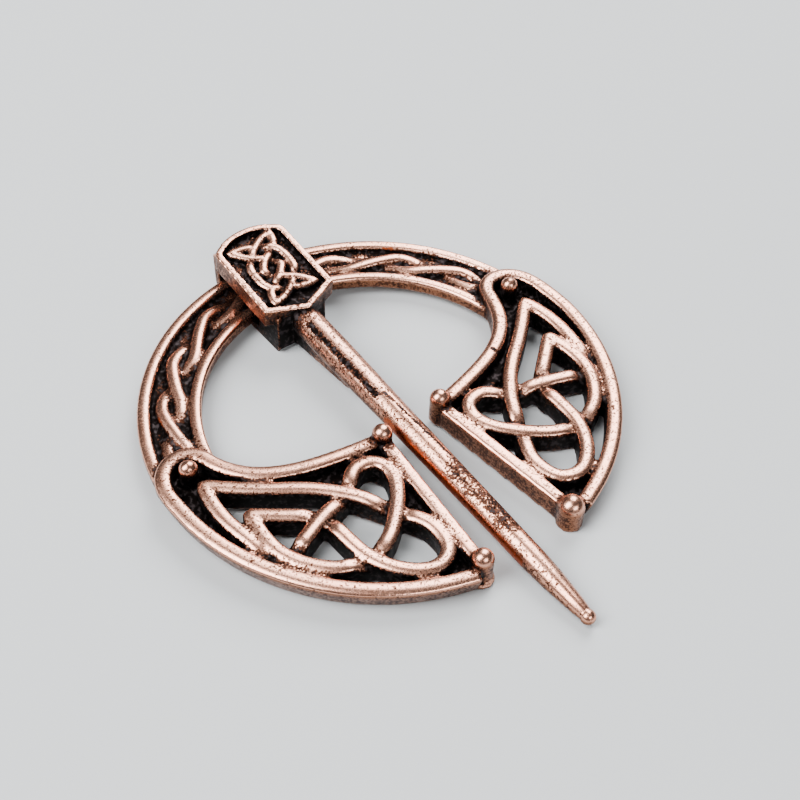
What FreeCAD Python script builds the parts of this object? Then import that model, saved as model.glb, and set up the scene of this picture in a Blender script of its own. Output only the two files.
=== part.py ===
import FreeCAD, Part
import math
import os

# Cloak clasp of the open-ring kind: a cast hoop whose two flattened ends are pierced with a knot,
# and a cast pin whose head is closed round the hoop by a strap.
# Millimetres, +Z up. The clasp lies on a flat surface at Z = 0: the strap under the hoop lifts
# the back of the ring a little, the front corners of the ring and the tip of the pin touch down.

V = FreeCAD.Vector
UP = V(0, 0, 1)
CENTRE = V(0, 0, 0)
SMALL = 1e-6
STRAIGHT_TURN = 0.005

# Driving dimensions of the ring, in its own frame: centre of the hoop, flat back at Z = 0,
# gap towards -Y.
HOOP_OUTER_R = 25.15
HOOP_INNER_R = 18.4
RIM_WIDTH = 1.35
RIM_TOP = 1.65
RIM_CROWN = 0.3
CHANNEL_FLOOR = 0.85
HOOP_END_DEG = 9.0

# Two-strand twist in the channel of the hoop. The strands cross the middle of the channel at
# these angles, a little closer to each other on the left.
TWIST_MIDDLES_DEG = [12.4, 32.7, 52.4, 74.2, 95.7, 117.2, 137.2, 154.7, 172.2]
TWIST_MID_R = 21.65
TWIST_SWING = 1.5
TWIST_END_SWING = 0.27
TWIST_WIDTH = 1.15
TWIST_BOTTOM = 0.35
TWIST_HIGH = 1.55
TWIST_LOW = 1.3
TWIST_CROWN = 0.4
TWIST_BEND_DEG = 10.5
TWIST_REACH_DEG = 17.1

# Pierced ends of the ring. Both stand a little to the right, as the casting came out of its mould.
END_SHIFT = 0.3
BORDER_R = 25.2
BORDER_WIDTH = 1.55
BORDER_TOP = 2.8
BORDER_START_DEG = -74.0
BORDER_END_DEG = -5.0
GAP_BAR_WIDTH = 1.25
GAP_BAR_CROWN = 0.35
GAP_BAR_TOP = 2.7
FLOOR_TOP = 0.95
STRAND_WIDTH = 1.45
STRAND_HIGH = 2.8
STRAND_LOW = 2.2
CROWN = 0.5
CORNER_FOOT_R = 1.4
CORNER_FOOT_TOP = 0.45

# Least radius on the inner side of a bend. Where a bar turns more sharply it gets a round post.
BAR_BEND = 0.05
OPENING_BEND = 0.2

# The outer wall leans in towards the back of the ring, so that the casting leaves its mould.
DRAFT_R_AT_BACK = 25.3
DRAFT_R_AT_TOP = 26.15
DRAFT_HEIGHT = 2.6

# Pin, in the frame of the pin: X across it, Y along it towards the head, surface at Z = 0.
TIP_Y = -33.5
TIP_Z = 0.97
TIP_BALL_R = 0.8
ROOT_Y = 12.6
ROOT_Z = 4.05
PIN_TURN_DEG = -1.5
PIN_SIDE_SHIFT = -0.26

# Head of the pin: a plate with a pointed front end and an arched back end.
PLATE_APEX_Y = 11.95
PLATE_APEX_Z = 6.15
PLATE_SLOPE_DEG = 7.0
PLATE_HALF_WIDTH = 4.55
PLATE_SIDE_SHIFT = 0.3
PLATE_SHOULDER = 1.95
PLATE_SIDE_END = 12.1
PLATE_LENGTH = 13.9
PLATE_THICK = 2.3
PLATE_RIM = 0.75
PLATE_CORNER_R = 1.1
PLATE_FIELD_DEPTH = 0.8
PLATE_KNOT_ALONG = 7.35
PLATE_KNOT_HIGH = 0.1
PLATE_KNOT_LOW = 0.35
PLATE_KNOT_WIDTH = 0.62
PLATE_KNOT_CROWN = 0.2
PLATE_KNOT_BEND = 0.02
PLATE_KNOT_ROOT = 0.3

# Strap that closes the head round the hoop.
STRAP_HALF_WIDTH = 3.2
STRAP_THICK = 1.0
STRAP_FRONT_Y = 13.2
WINDOW_FRONT_Y = 17.3
WINDOW_BACK_Y = 25.5
STRAP_BACK_Y = 26.5
STRAP_BACK_TOP = 5.4
STRAP_HEEL_ALONG = 1.2
STRAP_HEEL_UP = 1.4
STRAP_TOE_ALONG = 0.5
STRAP_TOE_UP = 0.6
STRAP_TO_PLATE_END = 1.0

# Keel that fills the hollow between the strap's front and the underside of the shaft.
KEEL_HALF_WIDTH = 1.15
KEEL_END_Y = 2.0
KEEL_END_TOP = 3.05
KEEL_END_BOTTOM = 1.65

# The ring lies on the surface with its front corners and on the strap with its inner rim, with
# this much air between ring and strap.
REST_GAP = 0.04
SWING_PIVOT_Y = 18.1

# The origin is below the middle of the whole clasp.
MIDDLE_Y = (STRAP_BACK_Y + TIP_Y - TIP_BALL_R) / 2

# Knot of one ring end, as the corners that its strand is rounded in.
# Columns: x, y, state. The strand runs over what it crosses (high), dips under it (low),
# or comes to a point (point).
KNOT = [
    (21.7, 0.4, "point"),
    (17.8, -3.1, "high"),
    (13.5, -6.1, "high"),
    (10.6, -9.3, "high"),
    (8.5, -13.2, "low"),
    (6.5, -17.0, "high"),
    (7.0, -20.4, "high"),
    (9.6, -21.4, "high"),
    (12.4, -19.4, "high"),
    (14.1, -16.2, "high"),
    (14.3, -12.6, "high"),
    (14.4, -9.8, "low"),
    (17.2, -7.6, "high"),
    (20.1, -5.3, "point"),
    (20.7, -9.2, "high"),
    (19.9, -12.3, "high"),
    (17.6, -15.2, "high"),
    (14.0, -16.8, "low"),
    (10.6, -15.5, "high"),
    (7.4, -12.7, "high"),
    (5.6, -9.9, "high"),
    (6.0, -7.3, "high"),
    (8.4, -6.7, "high"),
    (11.2, -9.0, "low"),
    (14.6, -9.7, "high"),
    (18.0, -11.0, "high"),
    (19.6, -11.6, "low"),
    (20.9, -11.8, "low"),
    (21.5, -9.2, "high"),
    (22.4, -4.6, "high"),
    (22.2, -1.4, "high"),
]

# Border of a ring end after its outer arc: round the lobe and back along the hollow side. The
# left end is drawn on the right like the other one and mirrored; its lobe sits further out.
RIGHT_LOBE = [
    (24.9, 3.6),
    (22.5, 5.8),
    (19.7, 5.4),
    (18.7, 1.6),
    (16.2, -1.8),
    (11.0, -4.3),
    (4.4, -5.5),
]
LEFT_LOBE = [
    (25.2, 2.8),
    (23.1, 5.2),
    (20.1, 4.9),
    (19.1, 1.2),
    (16.4, -2.0),
    (11.0, -4.4),
    (4.4, -5.5),
]

# Edge of the through opening between the strands: the floor stays in the lobe and the corners.
OPENING = [
    (6.4, -7.4),
    (11.6, -6.3),
    (16.4, -4.0),
    (20.0, -0.5),
    (22.8, -0.5),
    (23.6, -6.5),
    (22.0, -12.0),
    (18.6, -16.4),
    (13.6, -20.4),
    (8.4, -22.3),
    (7.2, -20.6),
    (6.3, -14.0),
]

# Beads of a ring end: in the lobe, at the inner and at the outer corner of the gap. The outer
# one on the right is thick and short.
# Columns: x, y, height of the bead's middle, radius of the bead, radius of its post.
RIGHT_BEADS = [
    (21.5, 2.95, 3.2, 1.0, 0.85),
    (3.95, -5.45, 3.2, 1.1, 0.95),
    (5.5, -23.9, 2.45, 1.35, 1.28),
]
LEFT_BEADS = [
    (22.05, 2.55, 3.2, 1.0, 0.85),
    (3.85, -5.55, 3.2, 1.1, 0.95),
    (5.95, -23.5, 3.2, 1.15, 1.05),
]

# Half of the knot on the head, from its centre; the other half is this one turned by 180 degrees.
# Columns: across, along, state.
HEAD_KNOT = [
    (2.4, 0.6, "high"),
    (2.3, -1.0, "high"),
    (1.5, -2.1, "low"),
    (0.4, -3.3, "high"),
    (-1.1, -4.3, "high"),
    (-2.7, -4.7, "point"),
    (-2.4, -3.3, "high"),
    (-1.3, -2.3, "low"),
    (0.2, -1.3, "high"),
    (1.2, -0.1, "high"),
    (0.8, 1.0, "low"),
    (-0.6, 1.9, "high"),
    (-1.7, 2.6, "high"),
    (-2.9, 4.2, "point"),
    (-1.2, 4.1, "high"),
    (0.5, 3.2, "low"),
    (1.7, 2.8, "high"),
    (2.3, 1.9, "high"),
]

# Shaft of the pin. Columns: distance from the tip ball along the shaft, radius.
SHAFT = [
    (0.5, 0.62),
    (0.9, 0.68),
    (1.6, 0.80),
    (2.8, 1.00),
    (5.0, 1.20),
    (7.8, 1.32),
    (11.3, 1.35),
    (17.3, 1.40),
    (23.3, 1.46),
    (29.3, 1.53),
    (35.3, 1.66),
    (40.3, 1.72),
    (46.3, 1.70),
]


def unit(a, b):
    d = b - a
    return d * (1.0 / d.Length)


def rounded_runs(corners, closed, least_radius):
    """Straight runs and tangent arcs through the mid points between corners.

    Each corner is (x, y, state). Returns (kind, state, data) for each run, where data is the two
    ends of a line, the centre, start and turn of an arc, or the place of a point."""
    count = len(corners)
    places = [V(c[0], c[1], 0) for c in corners]
    states = [c[2] for c in corners]
    runs = []
    for i in range(count):
        end = not closed and i in (0, count - 1)
        if end:
            continue
        here = places[i]
        before = places[i - 1]
        after = places[(i + 1) % count]
        start = (before + here) * 0.5
        finish = (here + after) * 0.5
        if not closed and i == 1:
            start = before
        if not closed and i == count - 2:
            finish = after
        way_in = unit(before, here)
        way_out = unit(here, after)
        turn = math.atan2(way_in.cross(way_out).z, way_in.dot(way_out))
        slack = min((here - start).Length, (finish - here).Length)
        radius = slack / math.tan(abs(turn) / 2) if abs(turn) > STRAIGHT_TURN else 0
        if states[i] == "point" or radius < least_radius:
            state = "high" if states[i] == "point" else states[i]
            runs.append(("line", state, (start, here)))
            runs.append(("point", state, here))
            runs.append(("line", state, (here, finish)))
            continue
        arc_start = here - way_in * slack
        arc_end = here + way_out * slack
        side = V(-way_in.y, way_in.x, 0) * (1 if turn > 0 else -1)
        if (arc_start - start).Length > SMALL:
            runs.append(("line", states[i], (start, arc_start)))
        runs.append(("arc", states[i], (arc_start + side * radius, arc_start, turn)))
        if (finish - arc_end).Length > SMALL:
            runs.append(("line", states[i], (arc_end, finish)))
    return runs


def section(place, way, width, bottom, top, crown):
    """Upright face across a bar: flat sides and a crowned top."""
    side = V(-way.y, way.x, 0) * (width / 2)
    low_a = place - side + V(0, 0, bottom)
    low_b = place + side + V(0, 0, bottom)
    high_a = place - side + V(0, 0, top - crown)
    high_b = place + side + V(0, 0, top - crown)
    peak = place + V(0, 0, top)
    edges = [
        Part.makeLine(low_a, low_b),
        Part.makeLine(low_b, high_b),
        Part.Arc(high_b, peak, high_a).toShape(),
        Part.makeLine(high_a, low_a),
    ]
    return Part.Face(Part.Wire(edges))


def domed_post(place, width, bottom, top, crown):
    """Round post whose top has the crown of a bar."""
    half = width / 2
    radius = (half * half + crown * crown) / (2 * crown)
    lean = math.asin(half / radius) / 2
    peak = V(0, 0, top)
    brow = V(radius * math.sin(lean), 0, top - radius + radius * math.cos(lean))
    shoulder = V(half, 0, top - crown)
    edges = [
        Part.makeLine(V(0, 0, bottom), V(half, 0, bottom)),
        Part.makeLine(V(half, 0, bottom), shoulder),
        Part.Arc(shoulder, brow, peak).toShape(),
        Part.makeLine(peak, V(0, 0, bottom)),
    ]
    post = Part.Face(Part.Wire(edges)).revolve(CENTRE, UP, 360)
    post.translate(place)
    return post


def bar_pieces(runs, width, bottom, tops, crown):
    """One solid for each run of a bar, all with the same crowned section."""
    pieces = []
    for kind, state, data in runs:
        top = tops[state]
        if kind == "point":
            pieces.append(domed_post(data, width, bottom, top, crown))
        elif kind == "line":
            face = section(data[0], unit(data[0], data[1]), width, bottom, top, crown)
            pieces.append(face.extrude(data[1] - data[0]))
        else:
            centre, start, turn = data
            spoke = unit(centre, start)
            way = V(-spoke.y, spoke.x, 0) * (1 if turn > 0 else -1)
            face = section(start, way, width, bottom, top, crown)
            pieces.append(face.revolve(centre, UP, math.degrees(turn)))
    return pieces


def fuse_all(pieces):
    return pieces[0].multiFuse(pieces[1:]).removeSplitter()


def runs_as_edges(runs):
    edges = []
    for kind, _, data in runs:
        if kind == "line":
            edges.append(Part.makeLine(data[0], data[1]))
        elif kind == "arc":
            centre, start, turn = data
            spoke = start - centre
            spots = []
            for share in (0.0, 0.5, 1.0):
                c = math.cos(turn * share)
                s = math.sin(turn * share)
                spots.append(centre + V(spoke.x * c - spoke.y * s, spoke.x * s + spoke.y * c, 0))
            edges.append(Part.Arc(*spots).toShape())
    return edges


def on_circle(radius, degrees, z=0.0):
    angle = math.radians(degrees)
    return V(radius * math.cos(angle), radius * math.sin(angle), z)


def make_hoop():
    """Hoop section turned about the middle of the ring: two crowned rims and a sunk channel."""
    rims = [
        (HOOP_INNER_R, HOOP_INNER_R + RIM_WIDTH),
        (HOOP_OUTER_R - RIM_WIDTH, HOOP_OUTER_R),
    ]
    edges = []
    corner = V(HOOP_INNER_R, 0, 0)
    for near, far in rims:
        shoulder_a = V(near, 0, RIM_TOP - RIM_CROWN)
        shoulder_b = V(far, 0, RIM_TOP - RIM_CROWN)
        peak = V((near + far) / 2, 0, RIM_TOP)
        if near > HOOP_INNER_R:
            floor = V(near, 0, CHANNEL_FLOOR)
            edges.append(Part.makeLine(corner, floor))
            corner = floor
        edges.append(Part.makeLine(corner, shoulder_a))
        edges.append(Part.Arc(shoulder_a, peak, shoulder_b).toShape())
        if far < HOOP_OUTER_R:
            corner = V(far, 0, CHANNEL_FLOOR)
            edges.append(Part.makeLine(shoulder_b, corner))
        else:
            edges.append(Part.makeLine(shoulder_b, V(far, 0, 0)))
            edges.append(Part.makeLine(V(far, 0, 0), V(HOOP_INNER_R, 0, 0)))
    face = Part.Face(Part.Wire(edges))
    face.rotate(CENTRE, UP, HOOP_END_DEG)
    return face.revolve(CENTRE, UP, 180 - 2 * HOOP_END_DEG)


def make_twist():
    """The S-shaped upper strands of the twist. Each dips under its neighbours at its ends."""
    tops = {"high": TWIST_HIGH, "low": TWIST_LOW}
    strands = []
    for middle in TWIST_MIDDLES_DEG:
        bends = [
            (TWIST_MID_R - TWIST_END_SWING, middle + TWIST_REACH_DEG, "low"),
            (TWIST_MID_R - TWIST_SWING, middle + TWIST_BEND_DEG, "high"),
            (TWIST_MID_R + TWIST_SWING, middle - TWIST_BEND_DEG, "high"),
            (TWIST_MID_R + TWIST_END_SWING, middle - TWIST_REACH_DEG, "low"),
        ]
        corners = []
        for radius, degrees, state in bends:
            spot = on_circle(radius, degrees)
            corners.append((spot.x, spot.y, state))
        runs = rounded_runs(corners, False, TWIST_WIDTH / 2 + BAR_BEND)
        strands.append(fuse_all(bar_pieces(runs, TWIST_WIDTH, TWIST_BOTTOM, tops, TWIST_CROWN)))
    return strands


def border_runs(lobe):
    """Border of a ring end: the outer arc, the lobe and the hollow side."""
    first = on_circle(BORDER_R, BORDER_START_DEG)
    last = on_circle(BORDER_R, BORDER_END_DEG)
    sweep = math.radians(BORDER_END_DEG - BORDER_START_DEG)
    outer = [("arc", "high", (CENTRE, first, sweep))]
    corners = [(last.x, last.y, "high")] + [(x, y, "high") for x, y in lobe]
    return outer + rounded_runs(corners, False, BORDER_WIDTH / 2)


def end_outline(lobe, beads):
    """Flat face inside the middle line of the border."""
    start = on_circle(BORDER_R, BORDER_START_DEG)
    finish = V(lobe[-1][0], lobe[-1][1], 0)
    corner = V(beads[2][0], beads[2][1], 0)
    gap_side = [Part.makeLine(finish, corner), Part.makeLine(corner, start)]
    return Part.Face(Part.Wire(runs_as_edges(border_runs(lobe)) + gap_side))


def make_opening():
    """Column that cuts the through opening of a ring end."""
    runs = rounded_runs([(x, y, "high") for x, y in OPENING], True, OPENING_BEND)
    face = Part.Face(Part.Wire(runs_as_edges(runs)))
    face.translate(V(0, 0, -FLOOR_TOP))
    return face.extrude(UP * (3 * FLOOR_TOP))


def draft_wall():
    """All that the leaning outer wall of the ring ends leaves standing."""
    lean = Part.makeCone(DRAFT_R_AT_BACK, DRAFT_R_AT_TOP, DRAFT_HEIGHT, CENTRE, UP)
    above = Part.makeCylinder(DRAFT_R_AT_TOP, BORDER_TOP, V(0, 0, DRAFT_HEIGHT), UP)
    return lean.fuse(above)


def make_ring_end(lobe, beads):
    """Right-hand end of the ring: floor, border, gap bar, knot and beads as one solid."""
    floor = end_outline(lobe, beads).extrude(UP * FLOOR_TOP).cut(make_opening())
    border = bar_pieces(border_runs(lobe), BORDER_WIDTH, 0, {"high": BORDER_TOP}, CROWN)
    inner_corner = V(beads[1][0], beads[1][1], 0)
    outer_corner = V(beads[2][0], beads[2][1], 0)
    gap_run = [("line", "high", (inner_corner, outer_corner))]
    gap_bar = bar_pieces(gap_run, GAP_BAR_WIDTH, 0, {"high": GAP_BAR_TOP}, GAP_BAR_CROWN)
    knot_tops = {"high": STRAND_HIGH, "low": STRAND_LOW}
    knot_runs = rounded_runs(KNOT, True, STRAND_WIDTH / 2 + BAR_BEND)
    knot = bar_pieces(knot_runs, STRAND_WIDTH, 0, knot_tops, CROWN)
    plain = fuse_all([floor] + border + gap_bar + knot).common(draft_wall())
    posts = [Part.makeCylinder(CORNER_FOOT_R, CORNER_FOOT_TOP, outer_corner, UP)]
    for x, y, bead_z, bead_r, post_r in beads:
        posts.append(Part.makeCylinder(post_r, bead_z, V(x, y, 0), UP))
        posts.append(Part.makeSphere(bead_r, V(x, y, bead_z)))
    return fuse_all([plain] + posts)


def make_ring():
    """The ring casting, flat on its back."""
    hoop = fuse_all([make_hoop()] + make_twist())
    parts = []
    for lobe, beads, mirrored in (
        (RIGHT_LOBE, RIGHT_BEADS, False),
        (LEFT_LOBE, LEFT_BEADS, True),
    ):
        end = make_ring_end(lobe, beads)
        room = end_outline(lobe, beads).extrude(UP * (BORDER_TOP + FLOOR_TOP))
        room.translate(V(0, 0, -FLOOR_TOP / 2))
        if mirrored:
            end = end.mirror(CENTRE, V(1, 0, 0))
            room = room.mirror(CENTRE, V(1, 0, 0))
        end.translate(V(END_SHIFT, 0, 0))
        room.translate(V(END_SHIFT, 0, 0))
        hoop = hoop.cut(room)
        parts.append(end)
    return fuse_all([hoop] + parts)


def plate_spot(along, up):
    """Place in the pin's middle plane: along the plate from its point, and above its rim."""
    slope = math.radians(PLATE_SLOPE_DEG)
    y = PLATE_APEX_Y + along * math.cos(slope) - up * math.sin(slope)
    z = PLATE_APEX_Z + along * math.sin(slope) + up * math.cos(slope)
    return (y, z)


def on_plate(shape):
    """Moves a shape made flat, with the plate's point at the origin, onto the slope of the head."""
    placed = shape.copy()
    placed.rotate(CENTRE, V(1, 0, 0), PLATE_SLOPE_DEG)
    placed.translate(V(PLATE_SIDE_SHIFT, PLATE_APEX_Y, PLATE_APEX_Z))
    return placed


def plate_face(inset, height):
    """Outline of the plate, made smaller all round by inset: a point in front, straight sides,
    and an arch behind whose corners are rounded."""
    half = PLATE_HALF_WIDTH - inset
    lean = math.hypot(PLATE_HALF_WIDTH, PLATE_SHOULDER) / PLATE_HALF_WIDTH
    point = inset * lean
    shoulder = point + half * PLATE_SHOULDER / PLATE_HALF_WIDTH
    rise = PLATE_LENGTH - PLATE_SIDE_END
    arch_r = (PLATE_HALF_WIDTH ** 2 + rise ** 2) / (2 * rise) - inset
    arch_middle = PLATE_LENGTH - inset - arch_r
    corner_r = PLATE_CORNER_R - inset / 2
    corner_x = half - corner_r
    corner_y = arch_middle + math.sqrt((arch_r - corner_r) ** 2 - corner_x ** 2)
    last = math.atan2(corner_y - arch_middle, corner_x)
    brow = V(arch_r * math.cos(last), arch_middle + arch_r * math.sin(last), height)
    knee = V(corner_x + corner_r * math.cos(last / 2), corner_y + corner_r * math.sin(last / 2), height)
    tip = V(0, point, height)
    front = V(half, shoulder, height)
    side = V(half, corner_y, height)
    top = V(0, PLATE_LENGTH - inset, height)

    def left(spot):
        return V(-spot.x, spot.y, spot.z)

    edges = [
        Part.makeLine(tip, front),
        Part.makeLine(front, side),
        Part.Arc(side, knee, brow).toShape(),
        Part.Arc(brow, top, left(brow)).toShape(),
        Part.Arc(left(brow), left(knee), left(side)).toShape(),
        Part.makeLine(left(side), left(front)),
        Part.makeLine(left(front), tip),
    ]
    return Part.Face(Part.Wire(edges))


def make_plate():
    """Plate with a raised rim round a sunk field, and the knot standing in the field."""
    plate = plate_face(0, -PLATE_THICK).extrude(UP * PLATE_THICK)
    field = plate_face(PLATE_RIM, -PLATE_FIELD_DEPTH).extrude(UP * (2 * PLATE_FIELD_DEPTH))
    plate = plate.cut(field)
    tops = {"high": -PLATE_KNOT_HIGH, "low": -PLATE_KNOT_LOW}
    bottom = -PLATE_FIELD_DEPTH - PLATE_KNOT_ROOT
    pieces = [plate]
    for sign in (1, -1):
        corners = [(sign * x, PLATE_KNOT_ALONG + sign * y, state) for x, y, state in HEAD_KNOT]
        runs = rounded_runs(corners, True, PLATE_KNOT_WIDTH / 2 + PLATE_KNOT_BEND)
        pieces += bar_pieces(runs, PLATE_KNOT_WIDTH, bottom, tops, PLATE_KNOT_CROWN)
    return on_plate(fuse_all(pieces))


def make_shaft():
    """Tapered shaft with a small ball at its tip, on its slope."""
    slope = math.degrees(math.atan2(ROOT_Z - TIP_Z, ROOT_Y - TIP_Y))
    spots = [V(0, SHAFT[0][0], 0)]
    spots += [V(radius, along, 0) for along, radius in SHAFT]
    spots += [V(0, SHAFT[-1][0], 0)]
    face = Part.Face(Part.makePolygon(spots + [spots[0]]))
    shaft = face.revolve(CENTRE, V(0, 1, 0), 360)
    shaft = shaft.fuse(Part.makeSphere(TIP_BALL_R, CENTRE))
    shaft.rotate(CENTRE, V(1, 0, 0), slope)
    shaft.translate(V(0, TIP_Y, TIP_Z))
    return shaft


def upright_slab(outline, half_width):
    """Solid of a side outline of (y, z) places, both sides of the pin's middle."""
    spots = [V(-half_width, y, z) for y, z in outline]
    face = Part.Face(Part.makePolygon(spots + [spots[0]]))
    return face.extrude(V(2 * half_width, 0, 0))


def make_strap():
    """Block under the front of the plate, and the strap that runs from it under the hoop and up
    to the back of the plate. The hoop passes through the window between strap and plate."""
    body = [
        (STRAP_FRONT_Y + STRAP_TOE_ALONG, 0),
        (STRAP_BACK_Y - STRAP_HEEL_ALONG, 0),
        (STRAP_BACK_Y - STRAP_HEEL_ALONG / 4, STRAP_HEEL_UP / 3),
        (STRAP_BACK_Y, STRAP_HEEL_UP),
        (STRAP_BACK_Y, STRAP_BACK_TOP),
        plate_spot(PLATE_LENGTH - STRAP_TO_PLATE_END, -PLATE_THICK / 2),
        plate_spot(STRAP_FRONT_Y - PLATE_APEX_Y, -PLATE_THICK / 2),
        (STRAP_FRONT_Y, STRAP_TOE_UP),
    ]
    window = [
        (WINDOW_FRONT_Y, STRAP_THICK),
        (WINDOW_BACK_Y, STRAP_THICK),
        (WINDOW_BACK_Y, plate_spot(WINDOW_BACK_Y - PLATE_APEX_Y, -PLATE_THICK)[1]),
        (WINDOW_FRONT_Y, plate_spot(WINDOW_FRONT_Y - PLATE_APEX_Y, -PLATE_THICK)[1]),
    ]
    return upright_slab(body, STRAP_HALF_WIDTH), upright_slab(window, 2 * STRAP_HALF_WIDTH)


def make_keel():
    keel = [
        (STRAP_FRONT_Y + 1, STRAP_TOE_UP),
        (STRAP_FRONT_Y + 1, ROOT_Z),
        (KEEL_END_Y, KEEL_END_TOP),
        (KEEL_END_Y + 1, KEEL_END_BOTTOM),
    ]
    return upright_slab(keel, KEEL_HALF_WIDTH)


def make_pin():
    """The pin casting at rest: shaft, plate and strap in one, turned as the pin lies in the gap."""
    strap, window = make_strap()
    pin = fuse_all([make_shaft(), make_plate(), strap, make_keel()]).cut(window)
    pin.rotate(CENTRE, UP, PIN_TURN_DEG)
    pin.translate(V(PIN_SIDE_SHIFT - END_SHIFT, -MIDDLE_Y, 0))
    return pin


def lay_ring(ring):
    """Tilts the ring so that its front corners lie on the surface and its back on the strap."""
    front_y = RIGHT_BEADS[2][1] - CORNER_FOOT_R
    lift = STRAP_THICK + REST_GAP
    tilt = math.degrees(math.asin(lift / (SWING_PIVOT_Y - front_y)))
    laid = ring.copy()
    laid.rotate(V(0, front_y, 0), V(1, 0, 0), tilt)
    laid.translate(V(-END_SHIFT, -MIDDLE_Y, 0))
    return laid


if __name__ == "__main__":
    os.makedirs("parts", exist_ok=True)
    NODES = {"ring": lay_ring(make_ring()), "pin": make_pin()}
    for name, shape in NODES.items():
        shape.exportStep("parts/" + name + ".step")
        print(name, shape.isValid(), len(shape.Solids), round(shape.Volume, 1))
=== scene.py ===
import math

import bmesh
import bpy
import numpy as np
from mathutils import Matrix, Vector
from mathutils.bvhtree import BVHTree


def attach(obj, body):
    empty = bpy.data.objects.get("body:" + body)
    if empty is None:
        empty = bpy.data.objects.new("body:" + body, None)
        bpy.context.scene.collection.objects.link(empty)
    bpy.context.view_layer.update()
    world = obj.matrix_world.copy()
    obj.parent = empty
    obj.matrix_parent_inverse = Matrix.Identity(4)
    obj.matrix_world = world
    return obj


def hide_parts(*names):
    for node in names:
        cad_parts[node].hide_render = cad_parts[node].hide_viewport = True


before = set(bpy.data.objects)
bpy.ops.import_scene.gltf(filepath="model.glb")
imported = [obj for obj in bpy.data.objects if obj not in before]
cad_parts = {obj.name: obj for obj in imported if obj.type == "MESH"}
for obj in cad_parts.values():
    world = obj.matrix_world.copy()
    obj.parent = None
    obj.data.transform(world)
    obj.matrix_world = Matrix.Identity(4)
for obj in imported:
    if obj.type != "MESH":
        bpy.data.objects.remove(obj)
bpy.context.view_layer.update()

# Ring: hoop
# One zinc casting, plated in copper, blackened and rubbed back. The hoop is a shallow channel
# between two crowned rims. Everything on the ring is drawn here in millimetres in the ring's own
# frame: centre of the hoop, flat back at zero, gap towards -Y.
MM = 0.001
HOOP_END_DEG = 9.0
HOOP_STEPS = 200
RIM_TOP = 1.65
CHANNEL_FLOOR = 0.85
HOOP_PROFILE = [
    (18.55, 0.0),
    (18.40, 0.30),
    (18.40, 1.38),
    (18.58, 1.58),
    (19.08, RIM_TOP),
    (19.55, 1.56),
    (19.72, 1.36),
    (19.78, CHANNEL_FLOOR),
    (23.70, CHANNEL_FLOOR),
    (23.76, 1.36),
    (23.92, 1.56),
    (24.45, RIM_TOP),
    (25.00, 1.58),
    (25.18, 1.38),
    (25.15, 0.60),
    (24.85, 0.0),
]


def ring_spot(radius, degrees, z=0.0):
    angle = math.radians(degrees)
    return (radius * math.cos(angle), radius * math.sin(angle), z)


def turned(profile, first_deg, last_deg, steps):
    """Closed mesh of a (radius, height) outline turned about the Z axis; whole turn or part."""
    whole = last_deg - first_deg >= 360
    bm = bmesh.new()
    rows = []
    for i in range(steps if whole else steps + 1):
        degrees = first_deg + (last_deg - first_deg) * i / steps
        rows.append([bm.verts.new(ring_spot(r, degrees, z)) for r, z in profile])
    count = len(profile)
    for i in range(steps):
        here = rows[i]
        after = rows[(i + 1) % len(rows)]
        for j in range(count):
            k = (j + 1) % count
            bm.faces.new((here[j], after[j], after[k], here[k]))
    if not whole:
        bm.faces.new(rows[0])
        bm.faces.new(list(reversed(rows[-1])))
    bmesh.ops.remove_doubles(bm, verts=bm.verts, dist=1e-5)
    bmesh.ops.recalc_face_normals(bm, faces=bm.faces)
    mesh = bpy.data.meshes.new("turned")
    bm.to_mesh(mesh)
    bm.free()
    return mesh


def spawn(mesh, name):
    obj = bpy.data.objects.new(name, mesh)
    bpy.context.scene.collection.objects.link(obj)
    return obj


def settled(obj):
    """Plain mesh of an object with its modifiers applied; the object itself is removed."""
    bpy.context.view_layer.update()
    graph = bpy.context.evaluated_depsgraph_get()
    mesh = bpy.data.meshes.new_from_object(obj.evaluated_get(graph))
    bpy.data.objects.remove(obj)
    return mesh


hoop_mesh = turned(HOOP_PROFILE, HOOP_END_DEG, 180 - HOOP_END_DEG, HOOP_STEPS)

# Ring: twist
# Two strands wind round each other in the channel. They are part of the casting: round-topped
# bars, each rising over its neighbour from the inner to the outer rim and dipping at its ends.
TWIST_MIDDLES_DEG = [12.4, 32.7, 52.4, 74.2, 95.7, 117.2, 137.2, 154.7, 172.2]
TWIST_MID_R = 21.65
TWIST_SWING = 1.5
TWIST_END_SWING = 0.1 * TWIST_SWING
TWIST_BEND_DEG = 10.5
TWIST_REACH_DEG = 17.1
TWIST_WIDTH = 1.55
TWIST_TOP = 1.62
TWIST_RISE = 0.1
TWIST_DIP = 0.7
TWIST_CROWN = 0.5
TWIST_DEPTH = 1.2


def node(tree, kind, links=(), **settings):
    """Adds a node. Settings name its properties, or, with in_ before a number, an input's value;
    links join (from socket, input) pairs."""
    made = tree.nodes.new(kind)
    for key, value in settings.items():
        if key.startswith("in_"):
            made.inputs[int(key[3:])].default_value = value
        else:
            setattr(made, key, value)
    for source, target in links:
        tree.links.new(source, made.inputs[target])
    return made


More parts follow.
